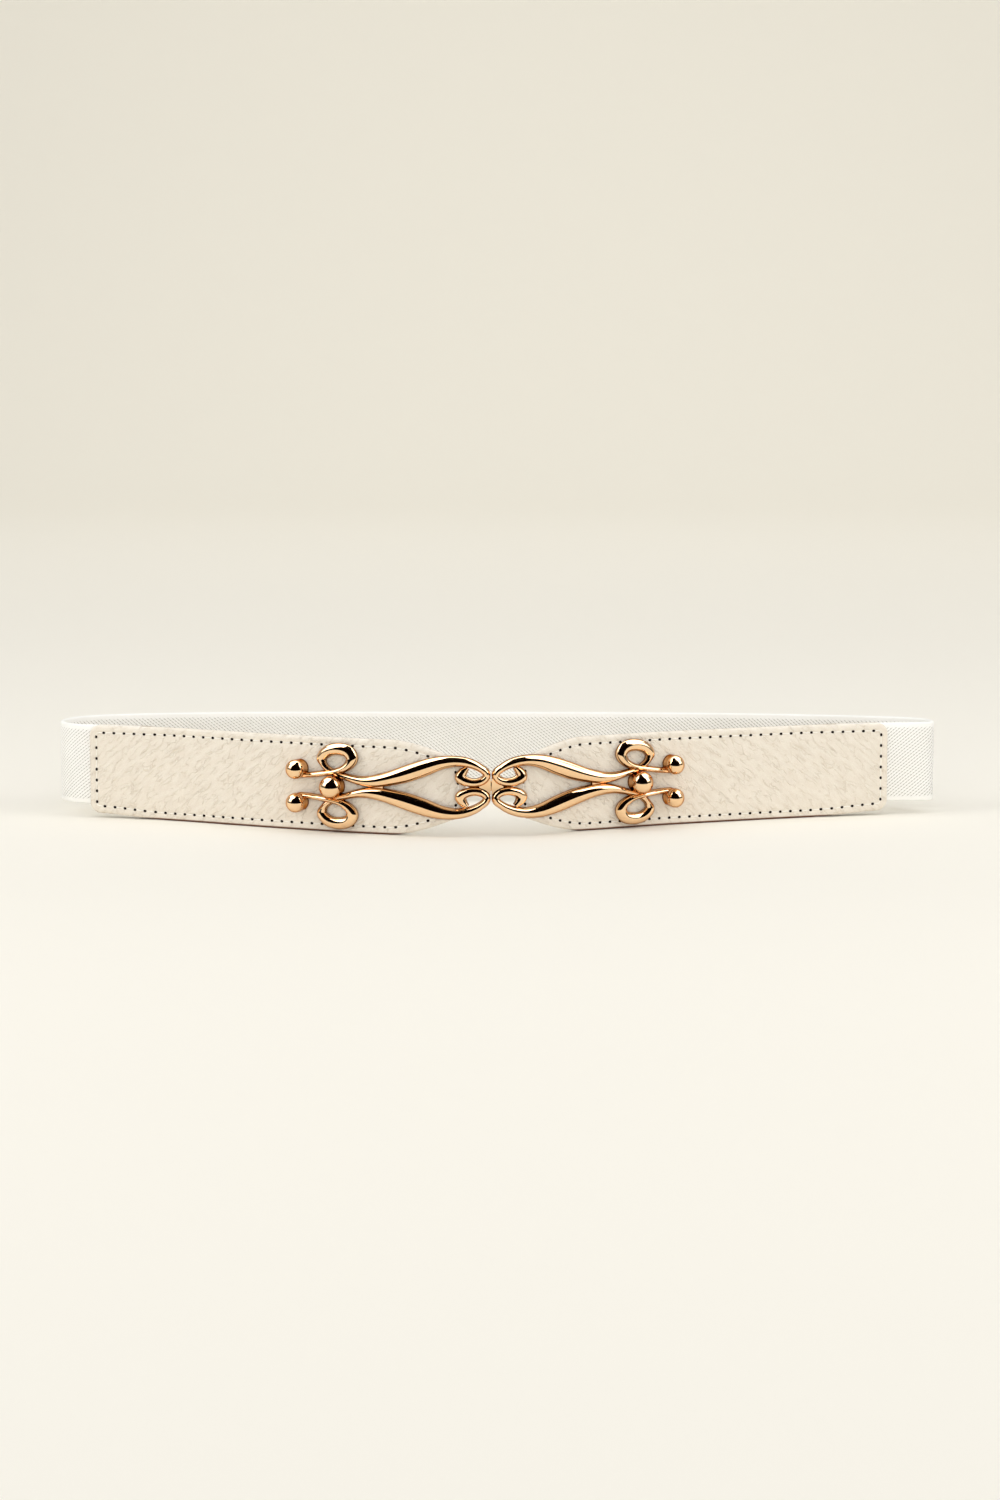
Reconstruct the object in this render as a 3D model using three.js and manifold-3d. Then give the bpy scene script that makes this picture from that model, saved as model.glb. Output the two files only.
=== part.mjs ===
// Elastic stretch belt, fastened and standing on the lower edges of its leather tabs.
// Millimetres. +X runs along the front from left to right, +Y from front to back, +Z is up.
// The origin is the middle of the belt's footprint, on the surface that it stands on.
import * as THREE from "three";
import { mergeVertices } from "three/addons/utils/BufferGeometryUtils.js";
import Module from "manifold-3d";

const wasm = await Module();
wasm.setup();

// Driving dimensions
const LOOP_WIDTH = 296.5; // flattened loop from side to side, along the middle of the strip
const LOOP_DEPTH = 76.6; // from the buckle's parting line to the middle of the rear run
const ELASTIC_WIDTH = 27;
const ELASTIC_THICKNESS = 1.6;
const ELASTIC_LAP = 18; // length sewn in between the two leather layers of a tab
const ELASTIC_CLEARANCE = 4.5; // height of the webbing's lower edge above the surface
const TAB_WIDTH = 31.5;
const TAB_LENGTH = 135;
const TAB_TIP_AT = 8; // from the parting line to the tip of the tab
const TAB_NOSE_LENGTH = 5;
const TAB_NOSE_WIDTH = 21.2;
const TAB_TAPER_LENGTH = 20;
const TAB_TAPER_BEND = 1.6; // 1 would be a straight taper, more rounds it into the full width
const TAB_CORNER_RADIUS = 3.6;
const TAB_END_LIFT = 1.6; // how far the lower edge curls up at the outer end
const TAB_LIFT_LENGTH = 30;
const TAB_RAMP_LENGTH = 7; // where the layers part to take the webbing
const LEATHER_THICKNESS = 1.2;
const SEAT_GAP = 0.3; // between pieces that lie on each other
const BUCKLE_LENGTH = 64.8; // one half, from the parting line to the middle of its tail studs
const BUCKLE_HEIGHT = 28.4; // over the two rings
const BUCKLE_AXIS_HEIGHT = 15.3; // of the half's middle line above the surface, at its tail
const BUCKLE_RISE = 1.3; // how much higher that line is at the parting line
const PARTING_GAP = 0.3; // between the two halves
const ARM_WIDTH = 5.6; // at the widest place of an arm
const ARM_HEIGHT = 3.2;
const TAIL_STUD_RADIUS = 3.2;
const MIDDLE_STUD_RADIUS = 3.85;
const STUD_STAND = 3.9; // height of a stud's middle above the back of the casting
const COLLAR_SHARE = 0.95; // collar under a stud, as a share of the stud's radius
const WEB_LENGTH = 3.6; // small plate that closes the notch between the two curls
const WEB_HEIGHT = 5.4;
const WEB_THICKNESS = 1.2;
const POST_RADIUS = 1.4;
const POST_CLEARANCE = 0.3; // between a rivet post and its hole in the leather
const POST_HEAD_RADIUS = 3;
const POST_HEAD_THICKNESS = 0.9;
const HOOK_LENGTH = 14;
const HOOK_HEIGHT = 3.2;
const HOOK_THICKNESS = 1.2;

// Finishes
const ELASTIC_FINISH = { color: 0xf6f3ea, roughness: 0.9, metalness: 0 };
const LEATHER_FINISH = { color: 0xe9dcc6, roughness: 0.55, metalness: 0 };
const GOLD_FINISH = { color: 0xe0a660, roughness: 0.15, metalness: 1 };

// Plan of the strip, seen from above. The middle line starts at the parting line and goes round by the right fold,
// the rear run and the left fold. across is a share of half the loop's width, back a share of its depth, and heading
// the direction of travel in degrees.
const PLAN = [
  { across: -0.0145, back: 0, heading: 5 },
  { across: 0.195, back: 0.15, heading: 22 },
  { across: 0.411, back: 0.333, heading: 19.5 },
  { across: 0.893, back: 0.621, heading: 12 },
  { across: 1, back: 0.687, heading: 90 },
  { across: 0.863, back: 0.855, heading: 168 },
  { across: -0.061, back: 1, heading: 180 },
  { across: -0.891, back: 0.9165, heading: 193 },
  { across: -1, back: 0.705, heading: 270 },
  { across: -0.929, back: 0.548, heading: 350 },
  { across: -0.4995, back: 0.227, heading: 337 },
];
const PLAN_HOLD = 0.36; // share of the distance between two rows over which a heading is held
const PLAN_SAMPLES = 2400;

const planKnots = PLAN.map(({ across, back, heading }) => ({
  place: new THREE.Vector2((across * LOOP_WIDTH) / 2, back * LOOP_DEPTH),
  way: new THREE.Vector2(1, 0).rotateAround(new THREE.Vector2(), THREE.MathUtils.degToRad(heading)),
}));
const planPath = new THREE.CurvePath();
planKnots.forEach((from, i) => {
  const to = planKnots[(i + 1) % planKnots.length];
  const hold = PLAN_HOLD * from.place.distanceTo(to.place);
  const leave = from.place.clone().addScaledVector(from.way, hold);
  const arrive = to.place.clone().addScaledVector(to.way, -hold);
  planPath.add(new THREE.CubicBezierCurve(from.place, leave, arrive, to.place));
});
const planPoints = planPath.getSpacedPoints(PLAN_SAMPLES);
const PLAN_STEP = planPath.getLength() / PLAN_SAMPLES;
const LOOP_LENGTH = planPath.getLength();

// Place of a point of the strip: along is measured from the parting line and wraps round the loop, up is the height
// above the surface, out the distance outwards from the middle of the strip.
function onStrip(along, up, out) {
  const station = THREE.MathUtils.euclideanModulo(along, LOOP_LENGTH) / PLAN_STEP;
  const index = Math.floor(station) % PLAN_SAMPLES;
  const pick = (step) => planPoints[THREE.MathUtils.euclideanModulo(index + step, PLAN_SAMPLES)];
  const place = pick(0).clone().lerp(pick(1), station - Math.floor(station));
  const way = pick(2).clone().sub(pick(-1)).normalize();
  return new THREE.Vector3(place.x + way.y * out, place.y - way.x * out, up);
}

// Bends a flat geometry onto the strip: its x runs away from the parting line, to the right for side 1 and to the
// left for side -1, its y is the height and its z points outwards.
function bendOnto(geometry, side) {
  const bent = geometry.clone();
  const position = bent.getAttribute("position");
  for (let i = 0; i < position.count; i++) {
    const place = onStrip(side * position.getX(i), position.getY(i), position.getZ(i));
    position.setXYZ(i, place.x, place.y, place.z);
  }
  if (side < 0) flip(bent);
  return bent;
}

function flip(geometry) {
  const index = geometry.getIndex();
  for (let i = 0; i < index.count; i += 3) {
    const second = index.getX(i + 1);
    index.setX(i + 1, index.getX(i + 2));
    index.setX(i + 2, second);
  }
}

// Closed body through rings of points that all have the same number of corners. Each ring runs anticlockwise seen
// from the far end, and the end rings are closed by fans from their middles.
function loft(rings) {
  const corners = rings[0].length;
  const points = rings.flat();
  const faces = [];
  for (let r = 0; r + 1 < rings.length; r++) {
    for (let c = 0; c < corners; c++) {
      const a = r * corners + c;
      const b = r * corners + ((c + 1) % corners);
      faces.push(a, b, b + corners, a, b + corners, a + corners);
    }
  }
  const middle = (ring) => ring.reduce((sum, p) => sum.add(p), new THREE.Vector3()).divideScalar(corners);
  const first = points.push(middle(rings[0])) - 1;
  const last = points.push(middle(rings[rings.length - 1])) - 1;
  const lastRing = (rings.length - 1) * corners;
  for (let c = 0; c < corners; c++) {
    const next = (c + 1) % corners;
    faces.push(first, next, c, last, lastRing + c, lastRing + next);
  }
  const geometry = new THREE.BufferGeometry().setFromPoints(points);
  geometry.setIndex(faces);
  return geometry;
}

// Four corners of a flat strip's section, as a ring for loft
function slab(along, low, high, inside, outside) {
  return [
    new THREE.Vector3(along, low, inside),
    new THREE.Vector3(along, high, inside),
    new THREE.Vector3(along, high, outside),
    new THREE.Vector3(along, low, outside),
  ];
}

// Solids for joining and cutting
const MERGE_DISTANCE = 1e-4;

function toSolid(geometry) {
  const bare = geometry.clone();
  bare.deleteAttribute("normal");
  bare.deleteAttribute("uv");
  const merged = mergeVertices(bare, MERGE_DISTANCE);
  const vertProperties = new Float32Array(merged.getAttribute("position").array);
  const triVerts = new Uint32Array(merged.getIndex().array);
  return new wasm.Manifold(new wasm.Mesh({ numProp: 3, vertProperties, triVerts }));
}

function toGeometry(solid) {
  const mesh = solid.getMesh();
  const geometry = new THREE.BufferGeometry();
  geometry.setAttribute("position", new THREE.BufferAttribute(mesh.vertProperties, 3));
  geometry.setIndex(new THREE.BufferAttribute(mesh.triVerts, 1));
  geometry.computeVertexNormals();
  return geometry;
}

const belt = new THREE.Group();

function addPiece(name, geometry, finish) {
  const mesh = new THREE.Mesh(geometry, new THREE.MeshStandardMaterial(finish));
  mesh.name = name;
  belt.add(mesh);
}

// Elastic webbing
// One woven strip runs from inside the right tab, round the back, to inside the left tab.
const ELASTIC_STEPS = 130;
const tabEnd = TAB_TIP_AT + TAB_LENGTH;
const elasticStart = tabEnd - ELASTIC_LAP;

function elasticGeometry() {
  const length = LOOP_LENGTH - 2 * elasticStart;
  const half = ELASTIC_THICKNESS / 2;
  const rings = [];
  for (let i = 0; i <= ELASTIC_STEPS; i++) {
    const along = elasticStart + (length * i) / ELASTIC_STEPS;
    rings.push(slab(along, ELASTIC_CLEARANCE, ELASTIC_CLEARANCE + ELASTIC_WIDTH, -half, half));
  }
  return bendOnto(loft(rings), 1);
}
addPiece("elastic_band", elasticGeometry(), ELASTIC_FINISH);

// Leather tabs
// Each tab is two layers of the same outline, sewn together round their edge with the end of the webbing between.
const NOSE_COLUMNS = 7;
const TAPER_COLUMNS = 8;
const RUN_COLUMNS = 28;
const CORNER_COLUMNS = 5;

// Columns of the outline, from the tip to the outer end: along is the distance from the parting line, low and high
// are the heights of the two edges.
function tabColumns() {
  const middle = TAB_WIDTH / 2;
  const noseEnd = TAB_TIP_AT + TAB_NOSE_LENGTH;
  const taperEnd = noseEnd + TAB_TAPER_LENGTH;
  const cornerStart = tabEnd - TAB_CORNER_RADIUS;
  const lift = (along) => TAB_END_LIFT * THREE.MathUtils.smoothstep(along, tabEnd - TAB_LIFT_LENGTH, tabEnd);
  const columns = [];
  const add = (along, half) => {
    columns.push({ along, low: middle - half + lift(along), high: middle + half });
  };
  for (let i = 1; i <= NOSE_COLUMNS; i++) {
    const turn = (Math.PI / 2) * (i / NOSE_COLUMNS);
    add(noseEnd - TAB_NOSE_LENGTH * Math.cos(turn), (TAB_NOSE_WIDTH / 2) * Math.sin(turn));
  }
  for (let i = 1; i <= TAPER_COLUMNS; i++) {
    const share = i / TAPER_COLUMNS;
    const widened = 1 - (1 - share) ** TAB_TAPER_BEND;
    add(noseEnd + TAB_TAPER_LENGTH * share, THREE.MathUtils.lerp(TAB_NOSE_WIDTH, TAB_WIDTH, widened) / 2);
  }
  for (let i = 1; i <= RUN_COLUMNS; i++) {
    add(THREE.MathUtils.lerp(taperEnd, cornerStart, i / RUN_COLUMNS), middle);
  }
  for (let i = 1; i <= CORNER_COLUMNS; i++) {
    const turn = (Math.PI / 2) * (i / CORNER_COLUMNS);
    add(cornerStart + TAB_CORNER_RADIUS * Math.sin(turn), middle - TAB_CORNER_RADIUS * (1 - Math.cos(turn)));
  }
  return columns;
}

// Distance from the middle of the strip to the inner face of a leather layer: the two layers lie on each other, and
// part near the outer end to take the webbing.
function layerInside(along) {
  const closed = SEAT_GAP / 2;
  const parted = ELASTIC_THICKNESS / 2 + SEAT_GAP;
  const rampEnd = elasticStart - SEAT_GAP;
  return THREE.MathUtils.lerp(
    closed,
    parted,
    THREE.MathUtils.smoothstep(along, rampEnd - TAB_RAMP_LENGTH, rampEnd),
  );
}
const leatherFace = SEAT_GAP / 2 + LEATHER_THICKNESS; // outer face of a layer under the buckle

// Rivet posts, as shares of the buckle half's length from the parting line
const POSTS = [{ along: 0.56 }, { along: 0.8 }];
const POST_SIDES = 12;
const axisHeight = (along) => BUCKLE_AXIS_HEIGHT + BUCKLE_RISE * (1 - along / BUCKLE_LENGTH);

// Round bar across the strip, from one distance out to another
function crossBar(along, radius, from, to) {
  const bar = new THREE.CylinderGeometry(radius, radius, to - from, POST_SIDES);
  bar.rotateX(Math.PI / 2);
  bar.translate(along, axisHeight(along), (from + to) / 2);
  return bar;
}

function tabLayer(side, facing) {
  const rings = tabColumns().map(({ along, low, high }) => {
    const near = layerInside(along);
    const far = near + LEATHER_THICKNESS;
    return facing > 0 ? slab(along, low, high, near, far) : slab(along, low, high, -far, -near);
  });
  let solid = toSolid(bendOnto(loft(rings), side));
  for (const { along } of POSTS) {
    const reach = leatherFace + SEAT_GAP;
    const bore = crossBar(along * BUCKLE_LENGTH, POST_RADIUS + POST_CLEARANCE, -reach, reach);
    solid = solid.subtract(toSolid(bendOnto(bore, side)));
  }
  return toGeometry(solid);
}
addPiece("tab_left_front", tabLayer(-1, 1), LEATHER_FINISH);
addPiece("tab_left_back", tabLayer(-1, -1), LEATHER_FINISH);
addPiece("tab_right_front", tabLayer(1, 1), LEATHER_FINISH);
addPiece("tab_right_back", tabLayer(1, -1), LEATHER_FINISH);

// Scroll buckle
// Each half is one casting. Its upper arm is drawn below and its lower arm is the mirror image. along is a share of
// the half's length from the parting line, across a share of half its height from the middle line, wide and high
// shares of the arm's largest width and height. Three strokes join into an arm: the stem from the ring to the heart,
// the ring that ends in the tail, and the curl at the parting line.
const STEM = [
  { along: 0.872, across: 0.61, wide: 0.5, high: 0.6 },
  { along: 0.848, across: 0.45, wide: 0.4, high: 0.62 },
  { along: 0.8, across: 0.31, wide: 0.38, high: 0.64 },
  { along: 0.74, across: 0.23, wide: 0.4, high: 0.72 },
  { along: 0.66, across: 0.143, wide: 0.54, high: 0.84 },
  { along: 0.58, across: 0.14, wide: 0.74, high: 0.96 },
  { along: 0.5, across: 0.215, wide: 0.86, high: 1 },
  { along: 0.42, across: 0.32, wide: 1, high: 1 },
  { along: 0.33, across: 0.46, wide: 0.98, high: 1 },
  { along: 0.25, across: 0.573, wide: 0.8, high: 1 },
  { along: 0.175, across: 0.61, wide: 0.64, high: 0.98 },
  { along: 0.115, across: 0.57, wide: 0.58, high: 0.95 },
  { along: 0.065, across: 0.475, wide: 0.5, high: 0.92 },
  { along: 0.036, across: 0.375, wide: 0.42, high: 0.86 },
];
const RING = [
  { along: 0.858, across: 0.52, wide: 0.46, high: 0.6 },
  { along: 0.87, across: 0.64, wide: 0.56, high: 0.66 },
  { along: 0.839, across: 0.8, wide: 0.6, high: 0.72 },
  { along: 0.785, across: 0.868, wide: 0.62, high: 0.76 },
  { along: 0.725, across: 0.815, wide: 0.66, high: 0.8 },
  { along: 0.702, across: 0.66, wide: 0.66, high: 0.84 },
  { along: 0.722, across: 0.49, wide: 0.54, high: 0.88 },
  { along: 0.775, across: 0.362, wide: 0.4, high: 0.92 },
  { along: 0.85, across: 0.3, wide: 0.36, high: 0.9 },
  { along: 0.93, across: 0.25, wide: 0.34, high: 0.8 },
  { along: 0.985, across: 0.235, wide: 0.33, high: 0.74 },
];
const CURL = [
  { along: 0.062, across: 0.465, wide: 0.46, high: 0.88 },
  { along: 0.0275, across: 0.345, wide: 0.47, high: 0.87 },
  { along: 0.0225, across: 0.235, wide: 0.45, high: 0.83 },
  { along: 0.04, across: 0.13, wide: 0.43, high: 0.8 },
  { along: 0.078, across: 0.077, wide: 0.41, high: 0.78 },
  { along: 0.12, across: 0.105, wide: 0.48, high: 0.74 },
  { along: 0.151, across: 0.215, wide: 0.6, high: 0.68 },
  { along: 0.143, across: 0.36, wide: 0.4, high: 0.6 },
  { along: 0.127, across: 0.47, wide: 0.15, high: 0.5 },
];
const STUDS = [
  { along: 0.8, across: 0, radius: MIDDLE_STUD_RADIUS },
  { along: 0.993, across: 0.392, radius: TAIL_STUD_RADIUS },
  { along: 0.993, across: -0.392, radius: TAIL_STUD_RADIUS },
];

// Section of an arm: flat back, short upright sides and a round front. over is a share of half the width, up a share
// of the height.
const ARM_SECTION = [
  { over: -0.86, up: 0 },
  { over: 0.86, up: 0 },
  { over: 1, up: 0.36 },
  { over: 0.76, up: 0.76 },
  { over: 0.28, up: 1 },
  { over: -0.28, up: 1 },
  { over: -0.76, up: 0.76 },
  { over: -1, up: 0.36 },
];
const castingBack = leatherFace + SEAT_GAP;
const STROKES = [
  { rows: STEM, steps: 26 },
  { rows: RING, steps: 22 },
  { rows: CURL, steps: 14 },
];

// Swept stroke through the rows of a table, mirror 1 for the upper arm and -1 for the lower one
function stroke(rows, mirror, steps) {
  const line = new THREE.CatmullRomCurve3(
    rows.map(({ along, across }) => {
      return new THREE.Vector3(along * BUCKLE_LENGTH, (across * BUCKLE_HEIGHT) / 2, 0);
    }),
    false,
    "centripetal",
  );
  const breadth = new THREE.CatmullRomCurve3(
    rows.map(({ wide, high }, i) => new THREE.Vector3(i, wide * ARM_WIDTH, high * ARM_HEIGHT)),
    false,
    "centripetal",
  );
  const rings = [];
  for (let i = 0; i <= steps; i++) {
    const share = i / steps;
    const place = line.getPoint(share);
    const way = line.getTangent(share);
    const size = breadth.getPoint(share);
    const ring = ARM_SECTION.map(({ over, up }) => {
      const aside = (over * size.y) / 2;
      const along = place.x - way.y * aside;
      const across = place.y + way.x * aside;
      return new THREE.Vector3(along, axisHeight(along) + mirror * across, castingBack + up * size.z);
    });
    rings.push(ring);
  }
  const geometry = loft(rings);
  if (mirror < 0) flip(geometry);
  return geometry;
}

// Round stud on its collar
const STUD_RINGS = 5;
const STUD_SIDES = 12;

function studGeometry({ along, across, radius }) {
  const profile = [new THREE.Vector2(0, 0), new THREE.Vector2(COLLAR_SHARE * radius, 0)];
  const start = -Math.acos(COLLAR_SHARE);
  for (let i = 0; i < STUD_RINGS; i++) {
    const turn = THREE.MathUtils.lerp(start, Math.PI / 2, i / STUD_RINGS);
    profile.push(new THREE.Vector2(radius * Math.cos(turn), STUD_STAND + radius * Math.sin(turn)));
  }
  profile.push(new THREE.Vector2(0, STUD_STAND + radius));
  const stud = new THREE.LatheGeometry(profile, STUD_SIDES);
  stud.rotateX(Math.PI / 2);
  const place = along * BUCKLE_LENGTH;
  stud.translate(place, axisHeight(place) + (across * BUCKLE_HEIGHT) / 2, castingBack);
  return stud;
}

function buckleHalf(side) {
  const parts = [];
  for (const { rows, steps } of STROKES) {
    parts.push(stroke(rows, 1, steps), stroke(rows, -1, steps));
  }
  parts.push(...STUDS.map(studGeometry));
  const web = new THREE.BoxGeometry(WEB_LENGTH, WEB_HEIGHT, WEB_THICKNESS);
  web.translate(PARTING_GAP / 2 + WEB_LENGTH / 2, axisHeight(0), castingBack + WEB_THICKNESS / 2);
  parts.push(web);
  for (const { along } of POSTS) {
    const place = along * BUCKLE_LENGTH;
    const headTop = -leatherFace - SEAT_GAP;
    parts.push(crossBar(place, POST_RADIUS, headTop - POST_HEAD_THICKNESS / 2, castingBack + ARM_HEIGHT / 2));
    parts.push(crossBar(place, POST_HEAD_RADIUS, headTop - POST_HEAD_THICKNESS, headTop));
  }
  const [first, ...rest] = parts.map((part) => toSolid(bendOnto(part, side)));
  return toGeometry(rest.reduce((whole, part) => whole.add(part), first));
}
addPiece("buckle_left", buckleHalf(-1), GOLD_FINISH);
addPiece("buckle_right", buckleHalf(1), GOLD_FINISH);

// Clasp hook
// One plain bar behind the parting line, where the two halves meet.
const HOOK_STEPS = 6;

function hookGeometry() {
  const low = axisHeight(0) - HOOK_HEIGHT / 2;
  const front = castingBack - SEAT_GAP;
  const rings = [];
  for (let i = 0; i <= HOOK_STEPS; i++) {
    const along = HOOK_LENGTH * (i / HOOK_STEPS - 0.5);
    rings.push(slab(along, low, low + HOOK_HEIGHT, front - HOOK_THICKNESS, front));
  }
  return bendOnto(loft(rings), 1);
}
addPiece("clasp_hook", hookGeometry(), GOLD_FINISH);

// The belt stands on the surface with the middle of its footprint at the origin.
const box = new THREE.Box3().setFromObject(belt);
belt.position.set(-(box.min.x + box.max.x) / 2, -(box.min.y + box.max.y) / 2, -box.min.z);
belt.updateMatrixWorld(true);

export default belt;
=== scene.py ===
"""Elastic stretch belt, fastened and standing on the lower edges of its leather tabs.

Lengths are millimetres until a mesh is made. along is measured on the strip from the parting line of the
buckle, to the right and round the loop, up is the height above the surface, and out the distance outwards
from the strip's middle.
"""

import math

import bpy
import numpy as np
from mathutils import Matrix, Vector, noise


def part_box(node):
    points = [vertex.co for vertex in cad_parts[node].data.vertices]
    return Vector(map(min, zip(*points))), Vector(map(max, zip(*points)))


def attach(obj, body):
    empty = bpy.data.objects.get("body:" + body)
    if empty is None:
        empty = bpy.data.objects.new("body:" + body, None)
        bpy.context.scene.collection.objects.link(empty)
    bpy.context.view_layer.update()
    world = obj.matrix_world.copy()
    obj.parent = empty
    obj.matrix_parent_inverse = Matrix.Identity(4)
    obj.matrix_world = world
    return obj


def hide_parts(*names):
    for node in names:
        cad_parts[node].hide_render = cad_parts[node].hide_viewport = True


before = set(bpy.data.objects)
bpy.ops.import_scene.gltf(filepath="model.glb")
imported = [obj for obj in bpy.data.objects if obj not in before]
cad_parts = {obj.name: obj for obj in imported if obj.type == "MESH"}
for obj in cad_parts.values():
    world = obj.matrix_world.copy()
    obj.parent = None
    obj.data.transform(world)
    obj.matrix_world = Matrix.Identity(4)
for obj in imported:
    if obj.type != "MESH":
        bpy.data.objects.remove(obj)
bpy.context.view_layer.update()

MM = 0.001

# Loop
# The belt is one flat strip on edge, from the buckle round the waist and back. Standing unworn it closes to a
# flat loop with a soft fold at each side, and its front runs back from the buckle to both folds.
LOOP_WIDTH = 296.5
LOOP_DEPTH = 76.6
PLAN = [
    dict(across=-0.0145, back=0, heading=5),
    dict(across=0.195, back=0.15, heading=22),
    dict(across=0.411, back=0.333, heading=19.5),
    dict(across=0.893, back=0.621, heading=12),
    dict(across=1, back=0.687, heading=90),
    dict(across=0.863, back=0.855, heading=168),
    dict(across=-0.061, back=1, heading=180),
    dict(across=-0.891, back=0.9165, heading=193),
    dict(across=-1, back=0.705, heading=270),
    dict(across=-0.929, back=0.548, heading=350),
    dict(across=-0.4995, back=0.227, heading=337),
]
PLAN_HOLD = 0.36
PLAN_SAMPLES = 400
BAND_THICKNESS = 1.6


def plan_line():
    """Points of the strip's middle line in plan, once round and back to the start."""
    corner = np.array([(row["across"] * LOOP_WIDTH / 2, row["back"] * LOOP_DEPTH) for row in PLAN])
    heading = np.radians([row["heading"] for row in PLAN])
    way = np.stack([np.cos(heading), np.sin(heading)], axis=1)
    share = np.linspace(0, 1, PLAN_SAMPLES, endpoint=False)[:, None]
    runs = []
    for i in range(len(PLAN)):
        start, end = corner[i], corner[(i + 1) % len(PLAN)]
        hold = PLAN_HOLD * np.linalg.norm(end - start)
        leave = start + way[i] * hold
        arrive = end - way[(i + 1) % len(PLAN)] * hold
        runs.append(
            (1 - share) ** 3 * start
            + 3 * (1 - share) ** 2 * share * leave
            + 3 * (1 - share) * share**2 * arrive
            + share**3 * end
        )
    return np.concatenate([*runs, runs[0][:1]])


line = plan_line()
line_step = np.diff(line, axis=0)
line_along = np.concatenate([[0], np.cumsum(np.linalg.norm(line_step, axis=1))])
line_heading = np.unwrap(np.arctan2(line_step[:, 1], line_step[:, 0]))
line_heading_at = (line_along[1:] + line_along[:-1]) / 2
LOOP_LENGTH = line_along[-1]

# The loop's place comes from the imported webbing: its middle from side to side, and its rearmost face.
band_low, band_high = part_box("elastic_band")
shift_x = (band_low.x + band_high.x) / 2 / MM - (line[:, 0].min() + line[:, 0].max()) / 2
shift_y = band_high.y / MM - line[:, 1].max() - BAND_THICKNESS / 2


def on_strip(along, up, out):
    """Points in metres of places on the strip, given as arrays of one shape."""
    along, up, out = np.broadcast_arrays(*[np.asarray(v, float) for v in (along, up, out)])
    station = np.mod(along, LOOP_LENGTH)
    heading = np.interp(station, line_heading_at, line_heading)
    x = np.interp(station, line_along, line[:, 0]) + np.sin(heading) * out + shift_x
    y = np.interp(station, line_along, line[:, 1]) - np.cos(heading) * out + shift_y
    return np.stack([x, y, up], axis=-1) * MM


# Elastic webbing
# One woven strip of white elastic, sewn in between the leather layers of both tabs. Fine diagonal ribs cover
# both faces, and a plain selvedge runs along each edge.
BAND_WIDTH = 27
BAND_CLEARANCE = 4.5
TAB_WIDTH = 31.5
TAB_LENGTH = 135
TAB_TIP_AT = 8
BAND_LAP = 18
TAB_END = TAB_TIP_AT + TAB_LENGTH
RIB_PITCH = 1.45
RIB_ANGLE = math.radians(40)
RIB_RELIEF = 0.1
RIB_STATIONS = 4
SELVEDGE = 1.7
BAND_ROWS = 14
EDGE_ROWS = 5
YARN_PITCH = 0.72
RIB_VALLEY = 0.42
YARN_WHITE = (253, 252, 248)
YARN_CREAM = (247, 245, 239)
# The grey of the painted shade in the rib valleys.
VALLEY_SHADE_GREY = (160, 154, 144)


def ring_faces(stations, corners):
    """Quads between neighbouring rings of a tube, and one face over each end."""
    r, c = np.meshgrid(np.arange(stations - 1), np.arange(corners), indexing="ij")
    a = r * corners + c
    b = r * corners + (c + 1) % corners
    sides = np.stack([a, b, b + corners, a + corners], axis=-1).reshape(-1, 4)
    first = list(range(corners))[::-1]
    last = list(range((stations - 1) * corners, stations * corners))
    return [*sides.tolist(), first, last]


def make_piece(name, points, faces, maps=(), smooth_below=40):
    """One mesh object. maps are coordinate maps, each a name and a pair of numbers for each point."""
    mesh = bpy.data.meshes.new(name)
    mesh.from_pydata(np.asarray(points).reshape(-1, 3).tolist(), [], faces)
    corner_point = np.empty(len(mesh.loops), np.int32)
    mesh.loops.foreach_get("vertex_index", corner_point)
    for label, pairs in maps:
        layer = mesh.uv_layers.new(name=label)
        layer.uv.foreach_set("vector", np.asarray(pairs, np.float32).reshape(-1, 2)[corner_point].ravel())
    mesh.polygons.foreach_set("use_smooth", [True] * len(mesh.polygons))
    mesh.set_sharp_from_angle(angle=math.radians(smooth_below))
    piece = bpy.data.objects.new(name, mesh)
    bpy.context.scene.collection.objects.link(piece)
    return piece


def band_section():
    """Once round the webbing's section: height, distance out at a crest, and how far the ribs stand there."""
    half = BAND_THICKNESS / 2
    turn = np.linspace(-90, 90, EDGE_ROWS + 2)[1:-1]
    face = np.linspace(SELVEDGE, BAND_WIDTH - SELVEDGE, BAND_ROWS)
    rows = [(SELVEDGE * 0.4, half - RIB_RELIEF * 0.6, 0), (SELVEDGE * 0.9, half - RIB_RELIEF, 0)]
    rows += [(height, half, RIB_RELIEF) for height in face]
    rows += [(BAND_WIDTH - height, out, relief) for height, out, relief in rows[1::-1]]
    rim = half - RIB_RELIEF
    outer = np.array(rows)
    inner = outer[::-1] * (1, -1, 1)
    turn = np.radians(turn)
    top = np.stack([BAND_WIDTH - rim * (1 - np.cos(turn)), -rim * np.sin(turn), 0 * turn], axis=1)
    bottom = np.array([(BAND_WIDTH - height, -out, relief) for height, out, relief in top])
    return np.concatenate([outer, top, inner, bottom])


def make_webbing():
    start = TAB_END - BAND_LAP
    length = LOOP_LENGTH - 2 * start
    ribs = round(length / RIB_PITCH)
    station = np.arange(ribs * RIB_STATIONS + 1)[:, None]
    height, out, relief = (column[None, :] for column in band_section().T)
    straight = start + length * station / station[-1]
    lean = np.clip(np.minimum(straight - start, start + length - straight) / BAND_LAP, 0, 1)
    along = straight + lean * (height - BAND_WIDTH / 2) / math.tan(RIB_ANGLE)
    valley = 0.5 + 0.5 * np.cos(2 * math.pi * station / RIB_STATIONS)
    away = out - np.sign(out) * relief * valley
    up = np.broadcast_to(height, along.shape)
    points = on_strip(along, BAND_CLEARANCE + up, away)
    flat_map = np.stack([along - start, up], axis=-1)
    faces = ring_faces(*along.shape)
    return make_piece("webbing", points, faces, [("strip", flat_map)], smooth_below=60), length


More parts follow.
